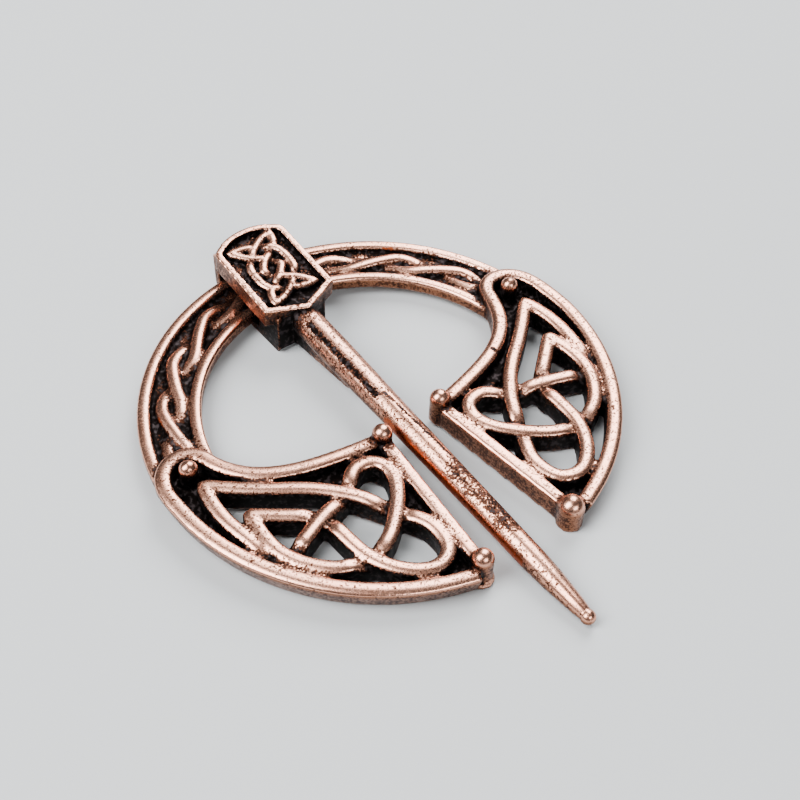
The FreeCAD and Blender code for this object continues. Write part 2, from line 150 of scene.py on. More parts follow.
def bar_tree():
    """Node tree that draws a cast bar along a curve: a round crown over upright sides."""
    tree = bpy.data.node_groups.new("cast_bar", "GeometryNodeTree")
    face = tree.interface
    face.new_socket("Path", in_out="INPUT", socket_type="NodeSocketGeometry")
    for name, value in (("Width", 1.4), ("Crown", 0.5), ("Depth", 3.0), ("Step", 0.25)):
        face.new_socket(name, in_out="INPUT", socket_type="NodeSocketFloat").default_value = value
    face.new_socket("Metal", in_out="INPUT", socket_type="NodeSocketMaterial")
    face.new_socket("Bar", in_out="OUTPUT", socket_type="NodeSocketGeometry")
    given = node(tree, "NodeGroupInput").outputs

    ring = node(tree, "GeometryNodeCurvePrimitiveCircle", in_0=28)
    place = node(tree, "GeometryNodeInputPosition")
    parts = node(tree, "ShaderNodeSeparateXYZ", [(place.outputs[0], 0)])
    x, y, _ = parts.outputs
    below = node(tree, "FunctionNodeCompare", [(y, 0)], operation="GREATER_THAN", in_1=0.0).outputs[0]
    spread = node(tree, "GeometryNodeSwitch", [(below, 0)], input_type="FLOAT", in_1=1.0, in_2=8.0)
    wide = node(tree, "ShaderNodeMath", [(x, 0), (spread.outputs[0], 1)], operation="MULTIPLY")
    side = node(tree, "ShaderNodeClamp", [(wide.outputs[0], 0)], in_1=-1.0, in_2=1.0).outputs[0]
    half = node(tree, "ShaderNodeMath", [(given["Width"], 0)], operation="MULTIPLY", in_1=0.5)
    across = node(tree, "ShaderNodeMath", [(side, 0), (half.outputs[0], 1)], operation="MULTIPLY")
    reach = node(
        tree, "GeometryNodeSwitch",
        [(below, 0), (given["Crown"], 1), (given["Depth"], 2)], input_type="FLOAT",
    )
    high = node(tree, "ShaderNodeMath", [(y, 0), (reach.outputs[0], 1)], operation="MULTIPLY")
    spot = node(tree, "ShaderNodeCombineXYZ", [(across.outputs[0], 0), (high.outputs[0], 1)])
    profile = node(tree, "GeometryNodeSetPosition", [(ring.outputs[0], 0), (spot.outputs[0], 2)])

    even = node(
        tree, "GeometryNodeResampleCurve", [(given["Path"], 0), (given["Step"], 3)], mode="LENGTH",
    )
    upright = node(tree, "GeometryNodeSetCurveNormal", [(even.outputs[0], 0)], mode="Z_UP")
    swept = node(tree, "GeometryNodeCurveToMesh", [(upright.outputs[0], 0), (profile.outputs[0], 1)])
    swept.inputs["Fill Caps"].default_value = True
    real = node(tree, "GeometryNodeRealizeInstances", [(swept.outputs[0], 0)])
    dressed = node(tree, "GeometryNodeSetMaterial", [(real.outputs[0], 0), (given["Metal"], 2)])
    node(tree, "NodeGroupOutput", [(dressed.outputs[0], 0)])
    return tree


BAR = bar_tree()


def path_curve(spots, closed):
    """Smooth curve that these places pull on, each with its own height."""
    data = bpy.data.curves.new("path", "CURVE")
    data.dimensions = "3D"
    data.resolution_u = 10
    spline = data.splines.new("NURBS")
    spline.points.add(len(spots) - 1)
    for point, spot in zip(spline.points, spots):
        point.co = (*spot, 1.0)
    spline.use_cyclic_u = closed
    spline.order_u = 3
    spline.use_endpoint_u = not closed
    return spawn(data, "path")


def cast_bar(spots, closed, width, crown, depth=3.0):
    """Bar whose crown follows the places given as (x, y, top)."""
    lowered = [(x, y, top - crown) for x, y, top in spots]
    obj = path_curve(lowered, closed)
    modifier = obj.modifiers.new("bar", "NODES")
    modifier.node_group = BAR
    sockets = {item.name: item.identifier for item in BAR.interface.items_tree if item.in_out == "INPUT"}
    modifier[sockets["Width"]] = width
    modifier[sockets["Crown"]] = crown
    modifier[sockets["Depth"]] = depth
    return settled(obj)


twist_meshes = []
low = TWIST_TOP - TWIST_DIP
for middle in TWIST_MIDDLES_DEG:
    twist_meshes.append(cast_bar([
        ring_spot(TWIST_MID_R - TWIST_END_SWING, middle + TWIST_REACH_DEG, low),
        ring_spot(TWIST_MID_R - TWIST_SWING, middle + TWIST_BEND_DEG, TWIST_TOP),
        ring_spot(TWIST_MID_R, middle, TWIST_TOP + TWIST_RISE),
        ring_spot(TWIST_MID_R + TWIST_SWING, middle - TWIST_BEND_DEG, TWIST_TOP),
        ring_spot(TWIST_MID_R + TWIST_END_SWING, middle - TWIST_REACH_DEG, low),
    ], False, TWIST_WIDTH, TWIST_CROWN, TWIST_DEPTH))

# Ring: the two ends
# Each end is a flattened field inside a raised border: floor in the lobe and the corners, open
# between the strands of one endless knot, a bar along the gap, and three beads on posts.
END_SHIFT = 0.3
BORDER_R = 25.2
BORDER_WIDTH = 1.7
BORDER_TOP = 2.8
BORDER_CROWN = 0.32
BORDER_START_DEG = -74.0
BORDER_END_DEG = -5.0
BORDER_STEPS = 12
FLOOR_TOP = 0.95
STRAND_WIDTH = 1.65
STRAND_TOP = 2.8
STRAND_DIP = 1.15
STRAND_CROWN = 0.38
DIP_REACH = 1.7
GAP_BAR_WIDTH = 1.5
GAP_BAR_TOP = 2.7
GAP_BAR_CROWN = 0.22

# Columns: x, y, state. The strand runs over what it crosses (high), dips under it (low), stays
# down round a bend (dip), or comes to a point (point).
KNOT = [
    (21.7, 0.4, "point"),
    (17.8, -3.1, "high"),
    (13.5, -6.1, "high"),
    (10.6, -9.3, "high"),
    (8.5, -13.2, "low"),
    (6.5, -17.0, "high"),
    (7.0, -20.4, "high"),
    (9.6, -21.4, "high"),
    (12.4, -19.4, "high"),
    (14.1, -16.2, "high"),
    (14.3, -12.6, "high"),
    (14.4, -9.8, "low"),
    (17.2, -7.6, "high"),
    (20.1, -5.3, "point"),
    (20.7, -9.2, "high"),
    (19.9, -12.3, "high"),
    (17.6, -15.2, "high"),
    (14.0, -16.8, "low"),
    (10.6, -15.5, "high"),
    (7.4, -12.7, "high"),
    (5.6, -9.9, "high"),
    (6.0, -7.3, "high"),
    (8.4, -6.7, "high"),
    (11.2, -9.0, "low"),
    (14.6, -9.7, "high"),
    (18.0, -11.0, "high"),
    (19.6, -11.6, "low"),
    (20.9, -11.8, "dip"),
    (21.5, -9.2, "high"),
    (22.4, -4.6, "high"),
    (22.2, -1.4, "high"),
]

# Border after its outer arc: round the lobe and back along the hollow side. The left end is
# drawn on the right and mirrored; its lobe sits further out.
RIGHT_LOBE = [
    (24.9, 3.6),
    (22.5, 5.8),
    (19.7, 5.4),
    (18.7, 1.6),
    (16.2, -1.8),
    (11.0, -4.3),
    (4.4, -5.5),
]
LEFT_LOBE = [
    (25.2, 2.8),
    (23.1, 5.2),
    (20.1, 4.9),
    (19.1, 1.2),
    (16.4, -2.0),
    (11.0, -4.4),
    (4.4, -5.5),
]
OPENING = [
    (6.4, -7.4),
    (11.6, -6.3),
    (16.4, -4.0),
    (20.0, -0.5),
    (22.8, -0.5),
    (23.6, -6.5),
    (22.0, -12.0),
    (18.6, -16.4),
    (13.6, -20.4),
    (8.4, -22.3),
    (7.2, -20.6),
    (6.3, -14.0),
]
# Columns: x, y, height of the bead's middle, radius of the bead, radius of its post.
RIGHT_BEADS = [
    (21.5, 2.95, 3.2, 1.0, 0.95),
    (3.95, -5.45, 3.2, 1.1, 1.05),
    (5.5, -23.9, 2.45, 1.38, 1.36),
]
LEFT_BEADS = [
    (22.05, 2.55, 3.2, 1.0, 0.95),
    (3.85, -5.55, 3.2, 1.1, 1.05),
    (5.95, -23.5, 3.2, 1.15, 1.12),
]
CORNER_FOOT_R = 1.4
CORNER_FOOT_TOP = 0.45
BEAD_STEPS = 12
POST_STEPS = 32
# Heights between which a cutter stands; it always reaches past what it cuts.
CUT_BOTTOM = -1.0
OPENING_CUT_TOP = 3.0
ROOM_CUT_TOP = 6.0


def knot_spots(corners, top, dip, reach, turn=1):
    """Places of a strand with its heights. Each dip gets a shoulder on both sides."""
    places = [Vector((x * turn, y * turn)) for x, y, _ in corners]
    spots = []
    for i, here in enumerate(places):
        state = corners[i][2]
        before = places[i - 1]
        after = places[(i + 1) % len(places)]
        if state == "low":
            for beside, height in ((before, top), (None, top - dip), (after, top)):
                way = (beside - here).normalized() * reach if beside else Vector((0, 0))
                spots.append((here.x + way.x, here.y + way.y, height))
        elif state == "dip":
            spots.append((here.x, here.y, top - dip))
        else:
            spots += [(here.x, here.y, top)] * (2 if state == "point" else 1)
    return spots


def border_spots(lobe, top):
    """Border from the corner of the gap along the outer arc and round the lobe."""
    sweep = BORDER_END_DEG - BORDER_START_DEG
    arc = []
    for i in range(BORDER_STEPS + 1):
        arc.append(ring_spot(BORDER_R, BORDER_START_DEG + sweep * i / BORDER_STEPS, top))
    return arc + [(x, y, top) for x, y in lobe]


def path_places(spots, closed):
    """Places along the smooth curve, in order."""
    mesh = settled(path_curve(spots, closed))
    return [vertex.co.copy() for vertex in mesh.vertices]


def slab(places, bottom, top):
    """Upright solid over a flat outline."""
    bm = bmesh.new()
    face = bm.faces.new([bm.verts.new((p.x, p.y, bottom)) for p in places])
    raised = bmesh.ops.extrude_face_region(bm, geom=[face])["geom"]
    for item in raised:
        if isinstance(item, bmesh.types.BMVert):
            item.co.z = top
    bmesh.ops.recalc_face_normals(bm, faces=bm.faces)
    mesh = bpy.data.meshes.new("slab")
    bm.to_mesh(mesh)
    bm.free()
    return mesh


def cut(mesh, tool):
    """The first mesh with the second one taken out of it."""
    obj = spawn(mesh, "cut")
    knife = spawn(tool, "knife")
    modifier = obj.modifiers.new("cut", "BOOLEAN")
    modifier.operation = "DIFFERENCE"
    modifier.solver = "EXACT"
    modifier.object = knife
    result = settled(obj)
    bpy.data.objects.remove(knife)
    return result


def post_profile(bead_r, post_r, bead_z):
    """Half outline of a post with a bead on it."""
    neck = 180 - math.degrees(math.asin(post_r / bead_r))
    outline = [(0, 0), (post_r, 0)]
    for i in range(BEAD_STEPS + 1):
        angle = math.radians(neck * (1 - i / BEAD_STEPS))
        outline.append((bead_r * math.sin(angle), bead_z + bead_r * math.cos(angle)))
    return outline


def room_outline(lobe, beads):
    """Places round a ring end, along the middle of its border."""
    return path_places(border_spots(lobe, 0), False) + [Vector((beads[2][0], beads[2][1], 0))]


def end_forms(lobe, beads):
    """Overlapping forms of a ring end, and apart from them its posts with their beads."""
    hole_edge = path_places([(x, y, 0) for x, y in OPENING], True)
    opening = slab(hole_edge, CUT_BOTTOM, OPENING_CUT_TOP)
    inner = beads[1][:2]
    outer = beads[2][:2]
    middle = ((inner[0] + outer[0]) / 2, (inner[1] + outer[1]) / 2)
    gap_spots = [(x, y, GAP_BAR_TOP) for x, y in (inner, middle, outer)]
    knot = knot_spots(KNOT, STRAND_TOP, STRAND_DIP, DIP_REACH)
    forms = [
        cut(slab(room_outline(lobe, beads), 0, FLOOR_TOP), opening),
        cast_bar(border_spots(lobe, BORDER_TOP), False, BORDER_WIDTH, BORDER_CROWN),
        cast_bar(gap_spots, False, GAP_BAR_WIDTH, GAP_BAR_CROWN),
        cast_bar(knot, True, STRAND_WIDTH, STRAND_CROWN),
    ]
    posts = []
    for x, y, bead_z, bead_r, post_r in beads:
        post = turned(post_profile(bead_r, post_r, bead_z), 0, 360, POST_STEPS)
        post.transform(Matrix.Translation((x, y, 0)))
        posts.append(post)
    foot_profile = [(0, 0), (CORNER_FOOT_R, 0), (CORNER_FOOT_R, CORNER_FOOT_TOP), (0, CORNER_FOOT_TOP)]
    foot = turned(foot_profile, 0, 360, POST_STEPS)
    foot.transform(Matrix.Translation((*outer, 0)))
    return forms, posts + [foot]


def joined(meshes, name):
    """One mesh out of several."""
    bm = bmesh.new()
    for mesh in meshes:
        bm.from_mesh(mesh)
    whole = bpy.data.meshes.new(name)
    bm.to_mesh(whole)
    bm.free()
    return whole


def mirrored(mesh):
    """Copy on the other side of the ring's middle."""
    copy = mesh.copy()
    copy.transform(Matrix.Diagonal((-1, 1, 1, 1)))
    copy.flip_normals()
    return copy


channel_mesh = hoop_mesh
end_meshes = []
post_meshes = []
for lobe, beads, is_left in ((RIGHT_LOBE, RIGHT_BEADS, False), (LEFT_LOBE, LEFT_BEADS, True)):
    forms, posts = end_forms(lobe, beads)
    room = slab(room_outline(lobe, beads), CUT_BOTTOM, ROOM_CUT_TOP)
    if is_left:
        forms = [mirrored(mesh) for mesh in forms]
        posts = [mirrored(mesh) for mesh in posts]
        room = mirrored(room)
    for mesh in forms + posts + [room]:
        mesh.transform(Matrix.Translation((END_SHIFT, 0, 0)))
    channel_mesh = cut(channel_mesh, room)
    twist_meshes = [cut(mesh, room) for mesh in twist_meshes]
    end_meshes += forms
    post_meshes += posts

# Ring: the casting
# All of the above runs together in the mould: every meeting of two forms has a soft fillet, the
# outer wall leans in towards the back, and no edge is sharp.
RING_VOXEL = 0.199
MOST_TRIANGLES = 195000
SOFTEN_ROUNDS = 4
BACK_HEIGHT = 0.001
DRAFT_R_AT_BACK = 25.3
DRAFT_R_AT_TOP = 26.15
DRAFT_HEIGHT = 2.6


def places_of(mesh):
    """Places of the vertices, a row for each."""
    places = np.empty(len(mesh.vertices) * 3)
    mesh.vertices.foreach_get("co", places)
    return places.reshape(-1, 3)


def flatten_back(mesh):
    """Presses whatever reaches below the back flat onto it."""
    places = places_of(mesh)
    places[:, 2] = np.maximum(places[:, 2], 0.0)
    mesh.vertices.foreach_set("co", places.ravel())


def thinned_back(mesh, ratio):
    """The mesh with larger faces on its flat back only."""
    flat = np.flatnonzero(places_of(mesh)[:, 2] < BACK_HEIGHT)
    obj = spawn(mesh, "thinned_back")
    obj.vertex_groups.new(name="back").add(flat.tolist(), 1.0, "REPLACE")
    thin = obj.modifiers.new("thin", "DECIMATE")
    thin.ratio = ratio
    thin.vertex_group = "back"
    return settled(obj)


def cast_skin(meshes, name, voxel):
    """One closed skin round overlapping forms, softened like a casting and flat at the back."""
    rough = joined(meshes, name)
    flatten_back(rough)
    obj = spawn(rough, name)
    remesh = obj.modifiers.new("skin", "REMESH")
    remesh.mode = "VOXEL"
    remesh.voxel_size = voxel
    soften = obj.modifiers.new("soften", "SMOOTH")
    soften.factor = 0.5
    soften.iterations = SOFTEN_ROUNDS
    skin = settled(obj)
    flatten_back(skin)
    triangles = sum(len(face.vertices) - 2 for face in skin.polygons)
    if triangles > MOST_TRIANGLES:
        skin = thinned_back(skin, MOST_TRIANGLES / triangles)
    skin.shade_smooth()
    print(name, "skin triangles", sum(len(face.vertices) - 2 for face in skin.polygons))
    return skin


def lean_in(mesh):
    """Gives a form of a ring end the lean of the outer wall."""
    places = places_of(mesh)
    share = np.clip(places[:, 2] / DRAFT_HEIGHT, 0, 1)
    most = DRAFT_R_AT_BACK + (DRAFT_R_AT_TOP - DRAFT_R_AT_BACK) * share
    x = places[:, 0] - END_SHIFT
    scale = np.minimum(1.0, most / np.hypot(x, places[:, 1]))
    places[:, 0] = x * scale + END_SHIFT
    places[:, 1] *= scale
    mesh.vertices.foreach_set("co", places.ravel())


for form in end_meshes:
    lean_in(form)
ring_forms = [channel_mesh] + end_meshes + post_meshes + twist_meshes
ring_mesh = cast_skin(ring_forms, "ring_casting", RING_VOXEL)

# The ring's own frame lies tilted in the row's frame: its front corners touch the surface and
# its inner rim lies on the strap of the pin.
STRAP_THICK = 1.0
REST_GAP = 0.04
SWING_PIVOT_Y = 18.1
MIDDLE_Y = -3.9
front_y = RIGHT_BEADS[2][1] - CORNER_FOOT_R
tilt = math.asin((STRAP_THICK + REST_GAP) / (SWING_PIVOT_Y - front_y))
RING_TO_ROW = (
    Matrix.Scale(MM, 4)
    @ Matrix.Translation((-END_SHIFT, front_y - MIDDLE_Y, 0))
    @ Matrix.Rotation(tilt, 4, "X")
    @ Matrix.Translation((0, -front_y, 0))
)
ring_mesh.transform(RING_TO_ROW)
ring = spawn(ring_mesh, "ring_casting")
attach(ring, "ring")
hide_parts("ring")

# Pin: shaft
# The pin is the second casting. Its round shaft swells from a small ball at the tip to the root
# under the head. It is drawn in millimetres in the pin's own frame: X across, Y towards the head.
TIP_Y = -33.5
TIP_Z = 0.97
TIP_BALL_R = 0.8
TIP_BALL_STEPS = 9
TIP_BALL_STEP_DEG = 16
SHAFT_STEPS = 48
ROOT_Y = 12.6
ROOT_Z = 4.05
PIN_TURN_DEG = -1.5
PIN_SIDE_SHIFT = -0.26
# Columns: distance from the tip ball along the shaft, radius.
SHAFT = [
    (0.5, 0.72),
    (0.9, 0.79),
    (1.6, 0.89),
    (2.8, 1.00),
    (5.0, 1.20),
    (7.8, 1.32),
    (11.3, 1.35),
    (17.3, 1.40),
    (23.3, 1.46),
    (29.3, 1.53),
    (35.3, 1.66),
    (40.3, 1.72),
    (46.3, 1.70),
]


def shaft_mesh():
    """Shaft with the ball at its tip: turned upright, then laid down along the pin."""
    ball = []
    for i in range(TIP_BALL_STEPS):
        angle = math.radians(i * TIP_BALL_STEP_DEG)
        ball.append((TIP_BALL_R * math.sin(angle), -TIP_BALL_R * math.cos(angle)))
    body = [(radius, along) for along, radius in SHAFT] + [(0, SHAFT[-1][0])]
    mesh = turned(ball + body, 0, 360, SHAFT_STEPS)
    slope = math.atan2(ROOT_Z - TIP_Z, ROOT_Y - TIP_Y)
    mesh.transform(
        Matrix.Translation((0, TIP_Y, TIP_Z)) @ Matrix.Rotation(slope - math.pi / 2, 4, "X")
    )
    return mesh


# Pin: head
# A plate pointed in front and arched behind, with a raised rim round a sunk field that holds a
# knot of two strands. A block under its front and a strap under the hoop close it round the ring.
PLATE_APEX_Y = 11.95
PLATE_APEX_Z = 6.15
PLATE_SLOPE_DEG = 7.0
PLATE_HALF_WIDTH = 4.55
PLATE_SIDE_SHIFT = 0.3
PLATE_SHOULDER = 1.95
PLATE_SIDE_END = 12.1
PLATE_LENGTH = 13.9
PLATE_THICK = 2.3
PLATE_RIM = 0.75
PLATE_CORNER_R = 1.1
PLATE_CORNER_STEPS = 6
PLATE_ARCH_STEPS = 16
FIELD_DEPTH = 0.8
HEAD_KNOT_ALONG = 7.35
HEAD_KNOT_WIDTH = 1.12
HEAD_KNOT_TOP = 0.0
HEAD_KNOT_DIP = 0.6
HEAD_KNOT_DIP_REACH = 0.75
HEAD_KNOT_CROWN = 0.4
HEAD_KNOT_DEPTH = 0.9
STRAP_HALF_WIDTH = 3.2
STRAP_FRONT_Y = 13.2
WINDOW_FRONT_Y = 17.3
WINDOW_BACK_Y = 25.5
STRAP_BACK_Y = 26.5
STRAP_BACK_TOP = 5.4
STRAP_HEEL_ALONG = 1.2
STRAP_HEEL_UP = 1.4
STRAP_HEEL_MIDDLE = (0.3, 0.5)
STRAP_TOE_ALONG = 0.5
STRAP_TOE_UP = 0.6
STRAP_UNDER_PLATE = 1.9
KEEL_HALF_WIDTH = 1.15
KEEL_IN_STRAP = 1.0
KEEL_END_Y = 2.0
KEEL_END_LEAN = 1.0
KEEL_END_TOP = 3.05
KEEL_END_BOTTOM = 1.65
CUT_SPARE = 1.0
PIN_VOXEL = 0.125

# Half of the knot, from its middle; the other half is this one turned by half a turn.
HEAD_KNOT = [
    (2.4, 0.6, "high"),
    (2.3, -1.0, "high"),
    (1.5, -2.1, "low"),
    (0.4, -3.3, "high"),
    (-1.1, -4.3, "high"),
    (-2.7, -4.7, "point"),
    (-2.4, -3.3, "high"),
    (-1.3, -2.3, "low"),
    (0.2, -1.3, "high"),
    (1.2, -0.1, "high"),
    (0.8, 1.0, "low"),
    (-0.6, 1.9, "high"),
    (-1.7, 2.6, "high"),
    (-2.9, 4.2, "point"),
    (-1.2, 4.1, "high"),
    (0.5, 3.2, "low"),
    (1.7, 2.8, "high"),
    (2.3, 1.9, "high"),
]


def plate_outline(inset):
    """Flat outline of the plate, smaller all round by inset, from its point round to the left."""
    half = PLATE_HALF_WIDTH - inset
    lean = math.hypot(PLATE_HALF_WIDTH, PLATE_SHOULDER) / PLATE_HALF_WIDTH
    point = inset * lean
    shoulder = point + half * PLATE_SHOULDER / PLATE_HALF_WIDTH
    rise = PLATE_LENGTH - PLATE_SIDE_END
    arch_r = (PLATE_HALF_WIDTH ** 2 + rise ** 2) / (2 * rise) - inset
    arch_middle = PLATE_LENGTH - inset - arch_r
    corner_r = PLATE_CORNER_R - inset / 2
    corner_x = half - corner_r
    corner_y = arch_middle + math.sqrt((arch_r - corner_r) ** 2 - corner_x ** 2)
    last = math.atan2(corner_y - arch_middle, corner_x)
    corner = []
    for i in range(PLATE_CORNER_STEPS + 1):
        angle = last * i / PLATE_CORNER_STEPS
        corner.append((corner_x + corner_r * math.cos(angle), corner_y + corner_r * math.sin(angle)))
    arch = []
    for i in range(1, PLATE_ARCH_STEPS):
        angle = last + (math.pi - 2 * last) * i / PLATE_ARCH_STEPS
        arch.append((arch_r * math.cos(angle), arch_middle + arch_r * math.sin(angle)))
    other_corner = [(-x, y) for x, y in reversed(corner)]
    outline = [(0, point), (half, shoulder)] + corner + arch + other_corner + [(-half, shoulder)]
    return [Vector((x, y, 0)) for x, y in outline]


PLATE_TO_PIN = (
    Matrix.Translation((PLATE_SIDE_SHIFT, PLATE_APEX_Y, PLATE_APEX_Z))
    @ Matrix.Rotation(math.radians(PLATE_SLOPE_DEG), 4, "X")
)


def plate_meshes():
    """Plate with its sunk field, and the knot that lies in it."""
    plate = cut(
        slab(plate_outline(0), -PLATE_THICK, 0),
        slab(plate_outline(PLATE_RIM), -FIELD_DEPTH, CUT_SPARE),
    )
    forms = [plate]
    for turn in (1, -1):
        spots = knot_spots(HEAD_KNOT, HEAD_KNOT_TOP, HEAD_KNOT_DIP, HEAD_KNOT_DIP_REACH, turn)
        spots = [(x, y + HEAD_KNOT_ALONG, z) for x, y, z in spots]
        forms.append(cast_bar(spots, True, HEAD_KNOT_WIDTH, HEAD_KNOT_CROWN, HEAD_KNOT_DEPTH))
    for mesh in forms:
        mesh.transform(PLATE_TO_PIN)
    return forms


def side_slab(outline, half_width):
    """Solid of a side outline of (y, z) places, both sides of the pin's middle."""
    mesh = slab([Vector((y, z, 0)) for y, z in outline], -half_width, half_width)
    mesh.transform(Matrix(((0, 0, 1, 0), (1, 0, 0, 0), (0, 1, 0, 0), (0, 0, 0, 1))))
    return mesh


def plate_height(y, up):
    """Height over the surface of a place on the plate at this y, up above its rim."""
    slope = math.radians(PLATE_SLOPE_DEG)
    return PLATE_APEX_Z + (y - PLATE_APEX_Y) * math.tan(slope) + up / math.cos(slope)


def strap_meshes():
    """Strap with the window for the hoop, and the keel between it and the shaft."""
    heel_in, heel_up = STRAP_HEEL_MIDDLE
    plate_y = STRAP_BACK_Y - STRAP_UNDER_PLATE
    body = side_slab([
        (STRAP_FRONT_Y + STRAP_TOE_ALONG, 0),
        (STRAP_BACK_Y - STRAP_HEEL_ALONG, 0),
        (STRAP_BACK_Y - heel_in, heel_up),
        (STRAP_BACK_Y, STRAP_HEEL_UP),
        (STRAP_BACK_Y, STRAP_BACK_TOP),
        (plate_y, plate_height(plate_y, -PLATE_THICK / 2)),
        (STRAP_FRONT_Y, plate_height(STRAP_FRONT_Y, -PLATE_THICK / 2)),
        (STRAP_FRONT_Y, STRAP_TOE_UP),
    ], STRAP_HALF_WIDTH)
    window = side_slab([
        (WINDOW_FRONT_Y, STRAP_THICK),
        (WINDOW_BACK_Y, STRAP_THICK),
        (WINDOW_BACK_Y, plate_height(WINDOW_BACK_Y, -PLATE_THICK)),
        (WINDOW_FRONT_Y, plate_height(WINDOW_FRONT_Y, -PLATE_THICK)),
    ], STRAP_HALF_WIDTH + CUT_SPARE)
    keel = side_slab([
        (STRAP_FRONT_Y + KEEL_IN_STRAP, STRAP_TOE_UP),
        (STRAP_FRONT_Y + KEEL_IN_STRAP, ROOT_Z),
        (KEEL_END_Y, KEEL_END_TOP),
        (KEEL_END_Y + KEEL_END_LEAN, KEEL_END_BOTTOM),
    ], KEEL_HALF_WIDTH)
    return [cut(body, window), keel]


pin_forms = [shaft_mesh()] + plate_meshes() + strap_meshes()
pin_mesh = cast_skin(pin_forms, "pin_casting", PIN_VOXEL)
PIN_TO_ROW = (
    Matrix.Scale(MM, 4)
    @ Matrix.Translation((PIN_SIDE_SHIFT - END_SHIFT, -MIDDLE_Y, 0))
    @ Matrix.Rotation(math.radians(PIN_TURN_DEG), 4, "Z")
)
pin_mesh.transform(PIN_TO_ROW)
pin = spawn(pin_mesh, "pin_casting")
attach(pin, "pin")
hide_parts("pin")

# Finish of both castings
# Antique copper: the zinc is plated with copper, given a black patina all over, then tumbled and
# rubbed back. High places shine pink and whatever lies deep stays black. Slopes are brown, partly
# as less rubbed copper and partly as painted reflection of dark surroundings.
RECESS_REACH = 6.0 * MM
RECESS_RAYS = 26
RAY_LIFT = 0.02 * MM
RELIEF_ROUNDS = 14
RELIEF_DEPTH = 0.10 * MM
WALL_FROM = 0.8


def sky_directions(count):
    """Evenly spread directions over the half sphere round +Z, denser towards the middle."""
    directions = []
    for i in range(count):
        high = math.sqrt((i + 0.5) / count)
        angle = i * math.pi * (3 - math.sqrt(5))
        flat = math.sqrt(1 - high * high)
        directions.append(Vector((flat * math.cos(angle), flat * math.sin(angle), high)))
    return directions


def recess_of(mesh):
    """Share of the sky that near walls of the piece hide from each vertex. A wall at the end
    of the reach counts half."""
    bm = bmesh.new()
    bm.from_mesh(mesh)
    tree = BVHTree.FromBMesh(bm)
    bm.free()
    sky = sky_directions(RECESS_RAYS)
    shares = np.zeros(len(mesh.vertices))
    for i, vertex in enumerate(mesh.vertices):
        turn = vertex.normal.to_track_quat("Z", "Y")
        start = vertex.co + vertex.normal * RAY_LIFT
        hits = 0.0
        for direction in sky:
            distance = tree.ray_cast(start, turn @ direction, RECESS_REACH)[3]
            if distance is not None:
                hits += 1.0 - 0.5 * distance / RECESS_REACH
        shares[i] = hits / RECESS_RAYS
    return shares


def edge_table(mesh):
    table = np.empty(len(mesh.edges) * 2, dtype=np.int64)
    mesh.edges.foreach_get("vertices", table)
    return table.reshape(-1, 2)


def spread(values, edges, rounds):
    """Values of the vertices, each moved towards the mean of its neighbours."""
    count = len(values)
    ends = np.concatenate([edges[:, 0], edges[:, 1]])
    others = np.concatenate([edges[:, 1], edges[:, 0]])
    degree = np.maximum(np.bincount(ends, minlength=count), 1)
    for _ in range(rounds):
        around = np.bincount(ends, weights=values[others], minlength=count) / degree
        values = 0.5 * values + 0.5 * around
    return values


def normals_of(mesh):
    normals = np.empty(len(mesh.vertices) * 3)
    mesh.vertices.foreach_get("normal", normals)
    return normals.reshape(-1, 3)


def relief_of(mesh, edges):
    """How far each vertex stands out of the smoothed form, from -1 in a groove to 1 on a ridge."""
    places = places_of(mesh)
    smoothed = np.stack([spread(places[:, axis], edges, RELIEF_ROUNDS) for axis in range(3)], axis=1)
    return np.clip(((places - smoothed) * normals_of(mesh)).sum(axis=1) / RELIEF_DEPTH, -1, 1)


def keep_value(mesh, name, values):
    layer = mesh.attributes.new(name, "FLOAT", "POINT")
    layer.data.foreach_set("value", values.astype(np.float32))


def marks_of(mesh, marks, to_row):
    """Strength of the marks at each vertex. A mark runs from one place to another; it is full
    within half its radius and gone at one and a half."""
    places = places_of(mesh)
    values = np.zeros(len(places))
    for x1, y1, z1, x2, y2, z2, radius, strength in marks:
        start = np.array(to_row @ Vector((x1, y1, z1)))
        way = np.array(to_row @ Vector((x2, y2, z2))) - start
        along = np.clip((places - start) @ way / max(way @ way, 1e-12), 0, 1)
        distance = np.linalg.norm(places - start - along[:, None] * way, axis=1) / (radius * MM)
        values = np.maximum(values, strength * np.clip(1.5 - distance, 0, 1))
    return values


def finish_values(obj, to_row, wear_and_sheen_marks, black_and_shade_marks):
    """Writes the values that the metal is mixed by, one attribute each."""
    mesh = obj.data
    edges = edge_table(mesh)
    keep_value(mesh, "recess", spread(recess_of(mesh), edges, 1))
    keep_value(mesh, "relief", relief_of(mesh, edges))
    keep_value(mesh, "wall", np.clip((WALL_FROM - normals_of(mesh)[:, 2]) / WALL_FROM, 0, 1))
    keep_value(mesh, "wear_and_sheen", marks_of(mesh, wear_and_sheen_marks, to_row))
    keep_value(mesh, "black", marks_of(mesh, black_and_shade_marks, to_row))
